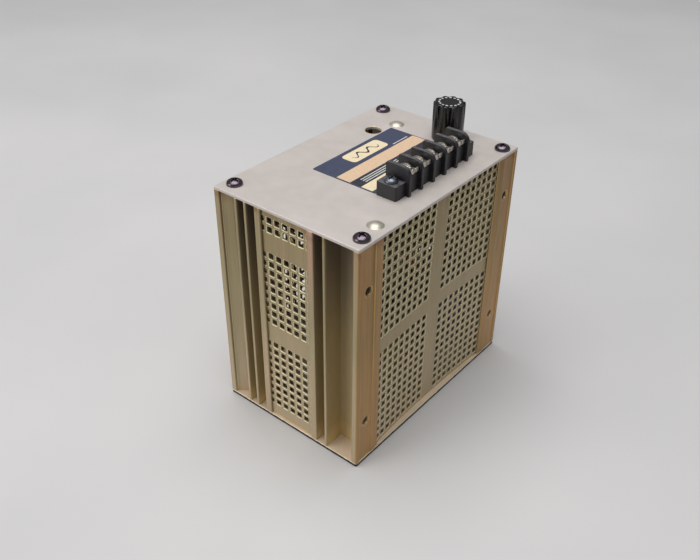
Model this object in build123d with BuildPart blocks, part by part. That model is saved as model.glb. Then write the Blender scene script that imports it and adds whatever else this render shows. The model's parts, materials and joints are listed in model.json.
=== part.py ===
from build123d import *
import math
import os

# Open-vented linear DC power supply.
# Frame: origin at the middle of the base plate's underside, +Z up, +X to the side with the
# terminal row, -Y to the front grille.  Millimetres throughout.

os.makedirs("parts", exist_ok=True)

# ---------------------------------------------------------------- case
case_x = 87.0
case_y = 128.0
case_z = 126.5
half_x = case_x / 2
half_y = case_y / 2
base_thick = 2.0
top_thick = 1.6
frame_low = base_thick
frame_high = case_z - top_thick
plate_round = 0.8
edge_round = 0.5

# ---------------------------------------------------------------- heat sink extrusions
sink_round = 0.7
side_wall = 3.3
recess_depth = 11.3
floor_thick = 3.0
floor_outer = half_y - recess_depth
floor_inner = floor_outer - floor_thick
slot_gap = 1.2
lip_thick = 1.1
side_lip_tip = 46.7
side_slot_end = 52.0
lip_bevel = 0.5
end_lip_tip = 13.9
end_lip_root = 17.6
end_web = 1.1
inner_lip_tip = 14.4
tip_x = 42.6
band_relief = 0.45
relief_y = (52.4, 61.7)
fin_thick = 1.5
fin_near = 23.65
fin_far = 29.6
corner_left = 37.0
corner_right = 38.6
corner_y = 56.4
boss_radius = 3.6
channel_radius = 2.05
side_hole_radius = 2.1
side_hole_bevel = 2.6
side_hole_pitch = 76.2
side_hole_low = 25.6

# ---------------------------------------------------------------- perforated sheets
sheet_thick = 0.9
sheet_play = (slot_gap - sheet_thick) / 2
punch = 3.2
punch_pitch = 4.7625
front_sheet_half = 16.4
side_sheet_half = 51.6

# ---------------------------------------------------------------- top panel features
rivet_places = [(36.0, -43.9), (-20.0, 46.2)]
rivet_radius = 1.6
rivet_head_radius = 4.0
rivet_head_height = 1.6
rivet_tail_radius = 2.3
rivet_tail_height = 1.0
adjust_x, adjust_y = -25.0, 32.5
adjust_radius = 4.45
label_x = (-19.4, 18.7)
label_y = (-21.8, 40.4)
label_thick = 0.3

# ---------------------------------------------------------------- terminal block
block_x = (19.2, 30.5)
barrier_x = (18.9, 32.5)
terminal_count = 5
terminal_pitch = 9.525
first_terminal_y = -9.15
barrier_thick = 2.0
barrier_height = 14.3
bay_height = 8.9
bay_floor = 2.0
ear_height = 7.2
ear_y = (-22.2, 41.9)
ear_screw_x = 25.0
ear_screw_ys = (-18.6, 38.4)
ear_bore = 1.75
terminal_x = 25.6
tail_x = (22.0, 22.8)
tail_half = 1.4
tail_low = 106.5
strip_x = (20.6, 30.3)
strip_half = 3.2
strip_thick = 0.8
saddle_thick = 0.8
saddle_half = 3.3
saddle_x = (21.4, 30.9)
saddle_notch_x = 29.0
saddle_notch_half = 0.9
saddle_lip = 1.0
terminal_shank = 1.75
bay_clear = 0.05

# ---------------------------------------------------------------- fuse holder
fuse_x, fuse_y = 9.5, 50.0
neck_radius = 5.5
neck_low = 88.0
well_radius = 4.0
well_low = 92.0
flange_radius = 7.9
flange_thick = 1.3
cap_radius = 8.15
cap_top = 146.0
cap_gap = 0.1
flute_count = 10
flute_radius = 2.3
flute_depth = 0.95
flute_length = 12.6
fuse_radius = 3.175
fuse_low = 92.7
fuse_length = 31.8
fuse_cap_length = 6.0
glass_radius = 2.9
pin_radius = 0.9
pin_low = neck_low - 7.0
lug_z = 100.1
lug_half = 1.2
lug_reach = 6.0

# ---------------------------------------------------------------- circuit board
board_low = 108.0
board_thick = 1.6
board_top = board_low + board_thick
board_half_x = 38.0
board_y = (-48.0, 48.0)
board_notch = (-1.0, 40.5)
bracket_thick = 1.2
bracket_top = board_top + bracket_thick
bridge_x = (-36.0, -20.0)
bridge_y = (-40.0, -24.0)
chip_x = (-13.0, 6.0)
chip_y = (-6.0, 0.5)
chip_legs = 7
chip_pitch = 2.54
board_can_places = [(-30.0, -10.0), (-30.0, 4.0), (-6.0, 20.0)]
board_can_radius = 4.0
board_can_height = 11.5
resistor_x = 2.0
resistor_ys = [-40.0 + 6.0 * row for row in range(5)]

# ---------------------------------------------------------------- power transistors
transistor_x = 29.0
transistor_screw_z = 85.0
transistor_lead_pitch = 2.54
transistor_bore = 1.55
transistor_bore_depth = 2.5
insulator_thick = 0.2
tab_thick = 1.3
lead_plane = floor_inner - insulator_thick - 2.6

# ---------------------------------------------------------------- transformer
core_y = -14.0
core_width = 66.0
core_height = 55.0
core_stack = 34.0
core_leg = 22.0
core_yoke = 11.0
window_width = 11.0
window_height = core_height - 2 * core_yoke
window_low = base_thick + core_yoke
strap_thick = 1.2
strap_half = 14.0
foot_half = 7.5
foot_length = 9.0

# ---------------------------------------------------------------- filter capacitors
can_radius = 12.5
can_height = 62.0
can_x = 22.0
can_y = 36.0
clamp_thick = 0.8
clamp_height = 10.0
clamp_bolt_x = 5.0

# ---------------------------------------------------------------- shared small sizes
bolt_radius = 2.0
bolt_bore = 2.1
countersink_radius = 3.9
small_bore = 1.6
over = 1.0  # how far a cutting solid runs past the face that it opens


# ---------------------------------------------------------------- helpers
def save(piece, name):
    """Label a finished sub-part and write it."""
    piece.part.label = name
    export_step(piece.part, f"parts/{name}.step")


def patch(x, y, mode=Mode.ADD):
    """Rectangle in the open sketch, given by its low and high limit on each axis."""
    with Locations((sum(x) / 2, sum(y) / 2)):
        Rectangle(abs(x[1] - x[0]), abs(y[1] - y[0]), mode=mode)


def bar(x, y, z, mode=Mode.ADD):
    """Square bar in the open part, given by its low and high limit on each axis."""
    with Locations((sum(x) / 2, sum(y) / 2, sum(z) / 2)):
        Box(abs(x[1] - x[0]), abs(y[1] - y[0]), abs(z[1] - z[0]), mode=mode)


def rod(x, y, z, radius, mode=Mode.ADD):
    """Upright cylinder in the open part, between two heights."""
    with Locations((x, y, sum(z) / 2)):
        Cylinder(radius, abs(z[1] - z[0]), mode=mode)


def span(middle, half):
    """Low and high limit about a middle."""
    return (middle - half, middle + half)


def wall_plane(heading, distance):
    """Upright plane that faces outwards at a heading, its own y axis pointing up."""
    out_x = round(math.cos(math.radians(heading)))
    out_y = round(math.sin(math.radians(heading)))
    foot = (out_x * distance, out_y * distance, 0)
    return Plane(origin=foot, x_dir=(-out_y, out_x, 0), z_dir=(out_x, out_y, 0))


def repeat(single, places):
    """One group of separate copies of a small piece, at the places given."""
    with BuildPart() as group:
        with Locations(*places):
            add(single.part)
    return group


def domed_screw(head_radius, head_height, shank_radius, shank_length, crossed):
    """Screw that stands on Z = 0: a domed head over a low rim, with its recess, and a plain shank below."""
    rim = 0.25 * head_height
    with BuildPart() as screw:
        with BuildSketch(Plane.XZ):
            with BuildLine():
                Polyline(
                    (0, head_height),
                    (0, -shank_length),
                    (shank_radius, -shank_length),
                    (shank_radius, 0),
                )
                Polyline((shank_radius, 0), (head_radius, 0), (head_radius, rim))
                EllipticalCenterArc((0, rim), head_radius, head_height - rim, arc_size=90)
            make_face()
        revolve(axis=Axis.Z)
        slot_width = 0.26 * head_radius
        slot_depth = 0.55 * head_height
        slot_length = 1.15 * head_radius if crossed else 2.2 * head_radius
        with Locations((0, 0, head_height - slot_depth / 2 + 0.2)):
            Box(slot_length, slot_width, slot_depth + 0.4, mode=Mode.SUBTRACT)
            if crossed:
                Box(slot_width, slot_length, slot_depth + 0.4, mode=Mode.SUBTRACT)
    return screw


def flush_screw(length):
    """Countersunk screw driven upwards from the base plate's underside."""
    head = countersink_radius - 0.1
    cone = head - bolt_radius
    recess_long = 2.4 * bolt_radius
    recess_wide = 0.9
    recess_box = 2.4
    with BuildPart() as screw:
        with BuildSketch(Plane.XZ):
            with BuildLine():
                Polyline(
                    (0, 0),
                    (head, 0),
                    (bolt_radius, cone),
                    (bolt_radius, length),
                    (0, length),
                    close=True,
                )
            make_face()
        revolve(axis=Axis.Z)
        Box(recess_long, recess_wide, recess_box, mode=Mode.SUBTRACT)
        Box(recess_wide, recess_long, recess_box, mode=Mode.SUBTRACT)
    return screw


def hex_nut(across_flats, height, bore_radius):
    """Hexagon nut that stands on Z = 0."""
    with BuildPart() as nut:
        with BuildSketch():
            RegularPolygon(across_flats / 2, 6, major_radius=False, rotation=30)
            Circle(bore_radius, mode=Mode.SUBTRACT)
        extrude(amount=height)
    return nut


def outward_places(xs, ys):
    """All combinations of two lists of coordinates."""
    return [(x, y) for x in xs for y in ys]


corner_places = outward_places((-corner_left, corner_right), (-corner_y, corner_y))
terminal_ys = [first_terminal_y + k * terminal_pitch for k in range(terminal_count)]
barrier_ys = [first_terminal_y + (k - 0.5) * terminal_pitch for k in range(terminal_count + 1)]
strap_half_y = core_width / 2 + strap_thick
foot_bolt_ys = [core_y + side * (strap_half_y + foot_length / 2) for side in (-1, 1)]
base_bolt_places = [(0, y) for y in foot_bolt_ys] + [(side * clamp_bolt_x, can_y) for side in (-1, 1)]
side_hole_zs = (side_hole_low, side_hole_low + side_hole_pitch)


# ---------------------------------------------------------------- base plate
with BuildPart() as base_plate:
    with BuildSketch():
        RectangleRounded(case_x, case_y, plate_round)
    extrude(amount=base_thick)
    fillet(base_plate.faces().sort_by(Axis.Z)[0].outer_wire().edges(), edge_round)
    with Locations(*[Location((x, y, 0), (180, 0, 0)) for x, y in corner_places + base_bolt_places]):
        CounterSinkHole(bolt_bore, countersink_radius, depth=base_thick, counter_sink_angle=90)
save(base_plate, "base_plate")


# ---------------------------------------------------------------- top panel
panel_slot_x = (20.3, 28.1)
panel_slot_y = (barrier_ys[0] + 1.2, barrier_ys[-1] - 1.2)
with BuildPart() as top_panel:
    with BuildSketch(Plane.XY.offset(frame_high)):
        RectangleRounded(case_x, case_y, plate_round)
        with Locations(*corner_places):
            Circle(bolt_bore + 0.15, mode=Mode.SUBTRACT)
        with Locations(*rivet_places):
            Circle(rivet_radius + 0.05, mode=Mode.SUBTRACT)
        with Locations(*[(ear_screw_x, y) for y in ear_screw_ys]):
            Circle(1.85, mode=Mode.SUBTRACT)
        with Locations((adjust_x, adjust_y)):
            Circle(adjust_radius, mode=Mode.SUBTRACT)
        with Locations((fuse_x, fuse_y)):
            Circle(neck_radius + 0.05, mode=Mode.SUBTRACT)
        patch(panel_slot_x, panel_slot_y, mode=Mode.SUBTRACT)
    extrude(amount=top_thick)
    fillet(top_panel.faces().sort_by(Axis.Z)[-1].outer_wire().edges(), edge_round)
save(top_panel, "top_panel")


# ---------------------------------------------------------------- corner heat sinks
def make_heatsink(side_x, side_y, fins, has_transistor):
    """L-shaped corner extrusion: a flat side band, and a finned recess on the end face."""
    side_inner = half_x - side_wall
    lip_back = half_x - lip_thick
    boss_x = corner_left if side_x < 0 else corner_right
    reach = math.hypot(tip_x - boss_x, half_y - corner_y)
    touch = math.atan2(half_y - corner_y, tip_x - boss_x) + math.acos(boss_radius / reach)
    touch_point = (boss_x + boss_radius * math.cos(touch), corner_y + boss_radius * math.sin(touch))
    end_slot_outer = half_y - lip_thick
    end_slot_inner = end_slot_outer - slot_gap
    with BuildPart() as sink:
        with BuildSketch(Plane.XY.offset(frame_low)) as profile:
            patch((side_inner, half_x), (side_slot_end, half_y))
            patch((lip_back, half_x), (side_lip_tip, side_slot_end))
            patch((side_inner, lip_back - slot_gap), (side_lip_tip + 0.8, side_slot_end))
            patch((end_lip_root - end_web, side_inner), (floor_inner, floor_outer))
            patch((end_lip_root - end_web, end_lip_root), (floor_inner, half_y))
            patch((end_lip_tip, end_lip_root), (end_slot_outer, half_y))
            patch((inner_lip_tip, end_lip_root), (end_slot_inner - lip_thick, end_slot_inner))
            for fin in fins:
                patch(span(fin, fin_thick / 2), (floor_outer - 0.5, half_y))
            with Locations((boss_x, corner_y)):
                Circle(boss_radius)
            with BuildLine():
                Polyline(
                    (tip_x, half_y),
                    touch_point,
                    (boss_x, corner_y),
                    (half_x, corner_y),
                    (half_x, half_y),
                    close=True,
                )
            make_face()
            with BuildLine():
                Polyline(
                    (half_x, side_slot_end - 0.5),
                    (half_x, side_lip_tip),
                    (half_x - lip_bevel, side_lip_tip),
                    close=True,
                )
            make_face(mode=Mode.SUBTRACT)
            patch((half_x - band_relief, half_x + over), relief_y, mode=Mode.SUBTRACT)
            tips = [v for v in profile.vertices() if v.Y > half_y - 0.01 and v.X < half_x - 0.01]
            fillet(tips, edge_round)
            fillet(profile.vertices().sort_by_distance((half_x, half_y, 0))[0], sink_round)
            with Locations((boss_x, corner_y)):
                Circle(channel_radius, mode=Mode.SUBTRACT)
        extrude(amount=frame_high - frame_low)
        hole_face = half_x - band_relief
        with Locations(*[Location((hole_face, corner_y, z), (0, 90, 0)) for z in side_hole_zs]):
            CounterSinkHole(
                side_hole_radius,
                side_hole_bevel,
                depth=hole_face - boss_x,
                counter_sink_angle=90,
            )
        if has_transistor:
            with Locations(Location((transistor_x, floor_inner, transistor_screw_z), (90, 0, 0))):
                Hole(transistor_bore, depth=transistor_bore_depth)
        if side_x < 0:
            mirror(about=Plane.YZ, mode=Mode.REPLACE)
        if side_y < 0:
            mirror(about=Plane.XZ, mode=Mode.REPLACE)
    return sink


two_fins = (fin_near, fin_far)
one_fin = (fin_near,)
save(make_heatsink(-1, -1, two_fins, True), "heatsink_front_left")
save(make_heatsink(1, -1, one_fin, True), "heatsink_front_right")
save(make_heatsink(-1, 1, one_fin, False), "heatsink_back_left")
save(make_heatsink(1, 1, two_fins, False), "heatsink_back_right")


# ---------------------------------------------------------------- perforated sheets
def make_grille(plane, half_width, columns, rows):
    """Sheet that stands in the extrusions' slots, punched with square holes."""
    with BuildPart() as sheet:
        with BuildSketch(plane):
            patch((-half_width, half_width), (frame_low, frame_high))
            with Locations(*outward_places(columns, rows)):
                Rectangle(punch, punch, mode=Mode.SUBTRACT)
        extrude(amount=sheet_thick)
    return sheet


def steps(first, count):
    """Hole centres at the punching pitch, upwards from the first."""
    return [first + punch_pitch * k for k in range(count)]


end_columns = steps(-3 * punch_pitch, 7)
end_rows = steps(10.4, 9) + steps(10.4 + 11 * punch_pitch, 9) + steps(10.4 + 22 * punch_pitch, 3)
side_columns = steps(1.5 * punch_pitch, 9) + steps(-9.5 * punch_pitch, 9)
side_rows = steps(5.6, 12) + steps(70.2, 12)
end_sheet_y = half_y - lip_thick - slot_gap + sheet_play
side_sheet_x = half_x - lip_thick - slot_gap + sheet_play
save(make_grille(wall_plane(-90, end_sheet_y), front_sheet_half, end_columns, end_rows), "grille_front")
save(make_grille(wall_plane(90, end_sheet_y), front_sheet_half, end_columns, end_rows), "grille_back")
save(make_grille(wall_plane(0, side_sheet_x), side_sheet_half, side_columns, side_rows), "grille_right")
save(make_grille(wall_plane(180, side_sheet_x), side_sheet_half, side_columns, side_rows), "grille_left")


# ---------------------------------------------------------------- case fasteners
cover_screw = domed_screw(3.93, 2.7, 2.0, 12.0, crossed=True)
save(repeat(cover_screw, [(x, y, case_z) for x, y in corner_places]), "top_cover_screws")

save(repeat(flush_screw(14.0), [(x, y, 0) for x, y in corner_places]), "base_screws")

rivet_grip = top_thick + bracket_thick
rivet_sphere = (rivet_head_radius**2 + rivet_head_height**2) / (2 * rivet_head_height)
with BuildPart() as one_rivet:
    with Locations((0, 0, rivet_head_height - rivet_sphere)):
        Sphere(rivet_sphere)
    split(bisect_by=Plane.XY, keep=Keep.TOP)
    rod(0, 0, (-rivet_grip, 0), rivet_radius)
    rod(0, 0, (-rivet_grip - rivet_tail_height, -rivet_grip), rivet_tail_radius)
save(repeat(one_rivet, [(x, y, case_z) for x, y in rivet_places]), "panel_rivets")

with BuildPart() as rating_label:
    with BuildSketch(Plane.XY.offset(case_z)):
        patch(label_x, label_y)
    extrude(amount=label_thick)
    fillet(rating_label.edges().filter_by(Axis.Z), 0.6)
save(rating_label, "rating_label")


# ---------------------------------------------------------------- terminal block
barrier_round_in = 1.2
barrier_round_out = 4.6
with BuildPart() as terminal_block:
    bar(block_x, (barrier_ys[0], barrier_ys[-1]), (case_z, case_z + bay_height))
    bar(block_x, ear_y, (case_z, case_z + ear_height))
    fillet(terminal_block.edges().filter_by(Axis.Z).group_by(Axis.Y)[0], 0.8)
    fillet(terminal_block.edges().filter_by(Axis.Z).group_by(Axis.Y)[-1], 0.8)
    for y in barrier_ys:
        with BuildSketch(Plane.XZ.offset(-y - barrier_thick / 2)) as barrier:
            patch(barrier_x, (case_z, case_z + barrier_height))
            top_corners = barrier.vertices().group_by(Axis.Y)[-1].sort_by(Axis.X)
            fillet(top_corners[0], barrier_round_in)
            fillet(barrier.vertices().group_by(Axis.Y)[-1].sort_by(Axis.X)[-1], barrier_round_out)
        extrude(amount=barrier_thick)
    lower_x = (panel_slot_x[0] + 0.3, panel_slot_x[1] - 0.3)
    lower_y = (panel_slot_y[0] + 0.3, panel_slot_y[1] - 0.3)
    bar(lower_x, lower_y, (frame_high - 1.6, case_z))
    for y in terminal_ys:
        bar(
            (tail_x[0] - bay_clear, tail_x[1] + bay_clear),
            span(y, tail_half + bay_clear),
            (frame_high - 2.0, case_z + bay_height + over),
            mode=Mode.SUBTRACT,
        )
        well = (case_z + bay_floor, case_z + bay_height + over)
        rod(terminal_x, y, well, terminal_shank + 0.4, mode=Mode.SUBTRACT)
    for y in ear_screw_ys:
        rod(ear_screw_x, y, (case_z - over, case_z + ear_height + over), ear_bore, mode=Mode.SUBTRACT)
save(terminal_block, "terminal_block")

ear_screw = domed_screw(3.2, 2.2, 1.7, 12.2, crossed=True)
ear_seats = [(ear_screw_x, y, case_z + ear_height) for y in ear_screw_ys]
save(repeat(ear_screw, ear_seats), "terminal_block_screws")
ear_nut = hex_nut(6.4, 2.4, ear_bore)
save(repeat(ear_nut, [(ear_screw_x, y, frame_high - 2.4) for y in ear_screw_ys]), "terminal_block_nuts")

strip_low = case_z + bay_height
strip_high = strip_low + strip_thick
with BuildPart() as terminal_strips:
    for y in terminal_ys:
        bar(strip_x, span(y, strip_half), (strip_low, strip_high))
        bar(tail_x, span(y, tail_half), (tail_low, strip_low))
        rod(terminal_x, y, (strip_low - over, strip_high + over), terminal_shank + 0.05, mode=Mode.SUBTRACT)
save(terminal_strips, "terminal_strips")

saddle_seat = strip_high
screw_seat = saddle_seat + saddle_thick
for number, y in enumerate(terminal_ys, start=1):
    with BuildPart() as saddle:
        notch_x = (saddle_notch_x, saddle_x[1] + over)
        notch_z = (saddle_seat - over, screw_seat + saddle_lip + over)
        lip_x = (saddle_x[1] - saddle_thick, saddle_x[1])
        bar(saddle_x, span(y, saddle_half), (saddle_seat, screw_seat))
        bar(lip_x, span(y, saddle_half), (screw_seat, screw_seat + saddle_lip))
        bar(notch_x, span(y, saddle_notch_half), notch_z, mode=Mode.SUBTRACT)
        bore_z = (saddle_seat - over, screw_seat + over)
        rod(terminal_x, y, bore_z, terminal_shank + 0.08, mode=Mode.SUBTRACT)
        fillet(saddle.edges().filter_by(Axis.Z).group_by(Axis.X)[0], 0.8)
    save(saddle, f"terminal_saddle_{number}")

    clamp_screw = domed_screw(3.05, 2.1, terminal_shank, 7.0, crossed=False)
    save(repeat(clamp_screw, [(terminal_x, y, screw_seat)]), f"terminal_screw_{number}")


# ---------------------------------------------------------------- fuse holder
neck_high = case_z + flange_thick
fuse_high = fuse_low + fuse_length
with BuildPart() as fuse_holder_body:
    rod(fuse_x, fuse_y, (neck_low, case_z), neck_radius)
    rod(fuse_x, fuse_y, (case_z, neck_high), flange_radius)
    rod(fuse_x, fuse_y, (well_low, neck_high + over), well_radius, mode=Mode.SUBTRACT)
    rod(fuse_x, fuse_y, (neck_low - over, well_low + over), pin_radius + 0.1, mode=Mode.SUBTRACT)
    window_y = (fuse_y - neck_radius - over, fuse_y - well_radius + 0.5)
    bar(span(fuse_x, lug_half + 0.1), window_y, span(lug_z, 0.5), mode=Mode.SUBTRACT)
save(fuse_holder_body, "fuse_holder_body")

with BuildPart() as fuse_holder_nut:
    with BuildSketch(Plane.XY.offset(frame_high - 2.6)):
        with Locations((fuse_x, fuse_y)):
            RegularPolygon(6.7, 6, major_radius=False, rotation=30)
            Circle(neck_radius + 0.03, mode=Mode.SUBTRACT)
    extrude(amount=2.6)
save(fuse_holder_nut, "fuse_holder_nut")

with BuildPart() as fuse_holder_contacts:
    rod(fuse_x, fuse_y, (well_low, fuse_low), 3.0)
    rod(fuse_x, fuse_y, (pin_low, well_low), pin_radius)
    lug_y = (fuse_y - neck_radius - lug_reach, fuse_y - well_radius - 0.05)
    bar(span(fuse_x, lug_half), lug_y, span(lug_z, 0.4))
save(fuse_holder_contacts, "fuse_holder_contacts")

cap_low = neck_high + cap_gap
stem_low = 117.0
with BuildPart() as fuse_cap:
    rod(fuse_x, fuse_y, (cap_low, cap_top), cap_radius)
    fillet(fuse_cap.faces().sort_by(Axis.Z)[-1].edges(), 0.7)
    lean = math.degrees(math.atan(flute_depth / flute_length))
    flute_reach = 40.0
    for number in range(flute_count):
        turn = 360 / flute_count * (number + 0.5)
        centre = cap_radius + flute_radius
        out_x = fuse_x + centre * math.cos(math.radians(turn))
        out_y = fuse_y + centre * math.sin(math.radians(turn))
        heading = Location((out_x, out_y, cap_top - flute_length), (0, 0, turn))
        with Locations(heading * Location((0, 0, 0), (0, -lean, 0))):
            Cylinder(flute_radius, flute_reach, mode=Mode.SUBTRACT)
    rod(fuse_x, fuse_y, (stem_low, cap_low + over), well_radius - 0.05)
    rod(fuse_x, fuse_y, (stem_low - over, fuse_high + 0.1), fuse_radius + 0.07, mode=Mode.SUBTRACT)
save(fuse_cap, "fuse_cap")

with BuildPart() as fuse_glass:
    rod(fuse_x, fuse_y, (fuse_low + 0.5, fuse_high - 0.5), glass_radius)
    rod(fuse_x, fuse_y, (fuse_low, fuse_high), glass_radius - 0.6, mode=Mode.SUBTRACT)
save(fuse_glass, "fuse_glass")

with BuildPart() as fuse_end_caps:
    rod(fuse_x, fuse_y, (fuse_low, fuse_low + fuse_cap_length), fuse_radius)
    rod(fuse_x, fuse_y, (fuse_high - fuse_cap_length, fuse_high), fuse_radius)
    rod(fuse_x, fuse_y, (fuse_low + 0.5, fuse_high - 0.5), glass_radius + 0.02, mode=Mode.SUBTRACT)
save(fuse_end_caps, "fuse_end_caps")

with BuildPart() as fuse_wire:
    rod(fuse_x, fuse_y, (fuse_low + 0.5, fuse_high - 0.5), 0.15)
save(fuse_wire, "fuse_wire")


# ---------------------------------------------------------------- transformer
core_x = span(0, core_stack / 2)
core_span = span(core_y, core_width / 2)
core_top = base_thick + core_height
window_centres = [core_y + side * (core_leg + window_width) / 2 for side in (-1, 1)]
window_z = (window_low, window_low + window_height)

with BuildPart() as transformer_core:
    bar(core_x, core_span, (base_thick, core_top))
    for y in window_centres:
        bar((-core_stack, core_stack), span(y, window_width / 2), window_z, mode=Mode.SUBTRACT)
save(transformer_core, "transformer_core")

coil_gap = 0.2
tube_wall = 1.0
tube_x = core_stack / 2 + coil_gap
tube_y = core_leg / 2 + coil_gap
flange_over = window_width - 0.5
bobbin_z = (window_z[0] + coil_gap, window_z[1] - coil_gap)
coil_z = (bobbin_z[0] + tube_wall + 0.1, bobbin_z[1] - tube_wall - 0.1)


def ring_outline(inner_x, inner_y, thick):
    """Rounded rectangular ring about the core's middle leg, in the open sketch."""
    with Locations((0, core_y)):
        RectangleRounded(2 * (inner_x + thick), 2 * (inner_y + thick), thick)
        Rectangle(2 * inner_x, 2 * inner_y, mode=Mode.SUBTRACT)


with BuildPart() as transformer_bobbin:
    with BuildSketch(Plane.XY.offset(bobbin_z[0])):
        ring_outline(tube_x, tube_y, tube_wall)
    extrude(amount=bobbin_z[1] - bobbin_z[0])
    for low in (bobbin_z[0], bobbin_z[1] - tube_wall):
        with BuildSketch(Plane.XY.offset(low)):
            ring_outline(tube_x, tube_y, flange_over - coil_gap)
        extrude(amount=tube_wall)
save(transformer_bobbin, "transformer_bobbin")

primary_thick = 4.6
secondary_thick = 3.6
primary_gap = tube_wall + 0.05
secondary_gap = primary_gap + primary_thick + 0.05
for name, gap, thick in (
    ("primary_winding", primary_gap, primary_thick),
    ("secondary_winding", secondary_gap, secondary_thick),
):
    with BuildPart() as winding:
        with BuildSketch(Plane.XY.offset(coil_z[0])):
            ring_outline(tube_x + gap, tube_y + gap, thick)
        extrude(amount=coil_z[1] - coil_z[0])
    save(winding, name)

with BuildPart() as transformer_frame:
    bar(span(0, strap_half), span(core_y, strap_half_y), (core_top, core_top + strap_thick))
    for side in (-1, 1):
        end_in = core_y + side * core_width / 2
        end_out = end_in + side * strap_thick
        foot_out = end_out + side * foot_length
        bar(span(0, strap_half), (end_in, end_out), (base_thick, core_top + strap_thick))
        bar(span(0, foot_half), (end_out, foot_out), (base_thick, base_thick + strap_thick))
    for y in foot_bolt_ys:
        rod(0, y, (base_thick - 1.0, base_thick + strap_thick + 1.0), bolt_bore, mode=Mode.SUBTRACT)
save(transformer_frame, "transformer_frame")


# ---------------------------------------------------------------- filter capacitors
can_low = base_thick
can_high = can_low + can_height
with BuildPart() as filter_capacitors:
    for side in (-1, 1):
        rod(side * can_x, can_y, (can_low, can_high), can_radius)
    fillet(filter_capacitors.faces().group_by(Axis.Z)[-1].edges(), 1.2)
    for side in (-1, 1):
        rod(side * can_x, can_y, (can_high - 0.8, can_high + 1.0), can_radius - 2.0, mode=Mode.SUBTRACT)
        for offset in (-4.0, 4.0):
            rod(side * can_x + offset, can_y, (can_high - 0.8, can_high + 4.0), 1.6)
save(filter_capacitors, "filter_capacitors")

with BuildPart() as capacitor_clamps:
    for side in (-1, 1):
        clamp_in = side * (can_x - can_radius - clamp_thick)
        rod(side * can_x, can_y, (base_thick, base_thick + clamp_height), can_radius + clamp_thick)
        bar((side * 1.2, clamp_in + side * 2.0), span(can_y, 4.0), (base_thick, base_thick + strap_thick))
        band_cut = (base_thick - over, base_thick + clamp_height + over)
        strap_cut = (base_thick - over, base_thick + strap_thick + over)
        rod(side * can_x, can_y, band_cut, can_radius + 0.03, mode=Mode.SUBTRACT)
        rod(side * clamp_bolt_x, can_y, strap_cut, bolt_bore, mode=Mode.SUBTRACT)
save(capacitor_clamps, "capacitor_clamps")

save(repeat(flush_screw(8.0), [(x, y, 0) for x, y in base_bolt_places]), "base_bolts")
base_nut = hex_nut(7.0, 3.2, bolt_radius + 0.05)
save(repeat(base_nut, [(x, y, base_thick + strap_thick) for x, y in base_bolt_places]), "base_nuts")


# ---------------------------------------------------------------- circuit board and its brackets
lead_xs = [side * transistor_x + step * transistor_lead_pitch for side in (-1, 1) for step in (-1, 0, 1)]
lead_places = [(x, -lead_plane) for x in lead_xs]
with BuildPart() as circuit_board:
    with BuildSketch(Plane.XY.offset(board_low)):
        patch((-board_half_x, board_half_x), board_y)
        patch((board_notch[0], board_half_x), (board_notch[1], board_y[1]), mode=Mode.SUBTRACT)
        with Locations(*[(sum(tail_x) / 2, y) for y in terminal_ys]):
            Rectangle(tail_x[1] - tail_x[0] + 0.4, 2 * tail_half + 0.4, mode=Mode.SUBTRACT)
        with Locations(*rivet_places):
            Circle(small_bore, mode=Mode.SUBTRACT)
        with Locations(*lead_places):
            Circle(0.65, mode=Mode.SUBTRACT)
    extrude(amount=board_thick)
save(circuit_board, "circuit_board")

with BuildPart() as board_brackets:
    flange_half = 3.2
    for x, y in rivet_places:
        side = math.copysign(1, y)
        flange_out = y + side * flange_half
        leg_out = y - side * flange_half
        leg_in = leg_out - side * bracket_thick
        bar(span(x, flange_half), (leg_in, flange_out), (frame_high - bracket_thick, frame_high))
        bar(span(x, flange_half), (leg_in, leg_out), (board_top, frame_high))
        bar(span(x, flange_half), (leg_in, flange_out), (board_top, bracket_top))
        rod(x, y, (frame_high - 2 * bracket_thick, case_z), rivet_radius + 0.05, mode=Mode.SUBTRACT)
        rod(x, y, (board_top - over, bracket_top + over), small_bore, mode=Mode.SUBTRACT)
save(board_brackets, "board_brackets")

board_screw = domed_screw(2.7, 1.9, 1.5, board_thick + bracket_thick + 3.4, crossed=True)
save(repeat(board_screw, [(x, y, bracket_top) for x, y in rivet_places]), "board_screws")
board_nut_height = 2.4
board_nut = hex_nut(5.5, board_nut_height, 1.55)
save(repeat(board_nut, [(x, y, board_low - board_nut_height) for x, y in rivet_places]), "board_nuts")

with BuildPart() as bridge_rectifier:
    bar(bridge_x, bridge_y, (board_top + 1.0, board_top + 7.0))
    marked_corner = (bridge_x[0], bridge_y[0], board_top)
    chamfer(bridge_rectifier.edges().filter_by(Axis.Z).sort_by_distance(marked_corner)[0], 3.0)
    leg_inset = 2.5
    leg_xs = (bridge_x[0] + leg_inset, bridge_x[1] - leg_inset)
    leg_ys = (bridge_y[0] + leg_inset, bridge_y[1] - leg_inset)
    for x, y in outward_places(leg_xs, leg_ys):
        rod(x, y, (board_top, board_top + 1.5), 0.6)
save(bridge_rectifier, "bridge_rectifier")

with BuildPart() as regulator_ic:
    bar(chip_x, chip_y, (board_top + 0.9, board_top + 4.3))
    fillet(regulator_ic.edges().filter_by(Axis.Z), 0.3)
    leg_spread = 0.5
    for column in range(chip_legs):
        x = sum(chip_x) / 2 + chip_pitch * (column - (chip_legs - 1) / 2)
        for y in (chip_y[0] - leg_spread, chip_y[1] + leg_spread):
            bar(span(x, 0.25), span(y, leg_spread), (board_top, board_top + 2.2))
save(regulator_ic, "regulator_ic")

with BuildPart() as board_capacitors:
    for x, y in board_can_places:
        rod(x, y, (board_top, board_top + board_can_height), board_can_radius)
    fillet(board_capacitors.faces().group_by(Axis.Z)[-1].edges(), 0.8)
save(board_capacitors, "board_capacitors")

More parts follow.
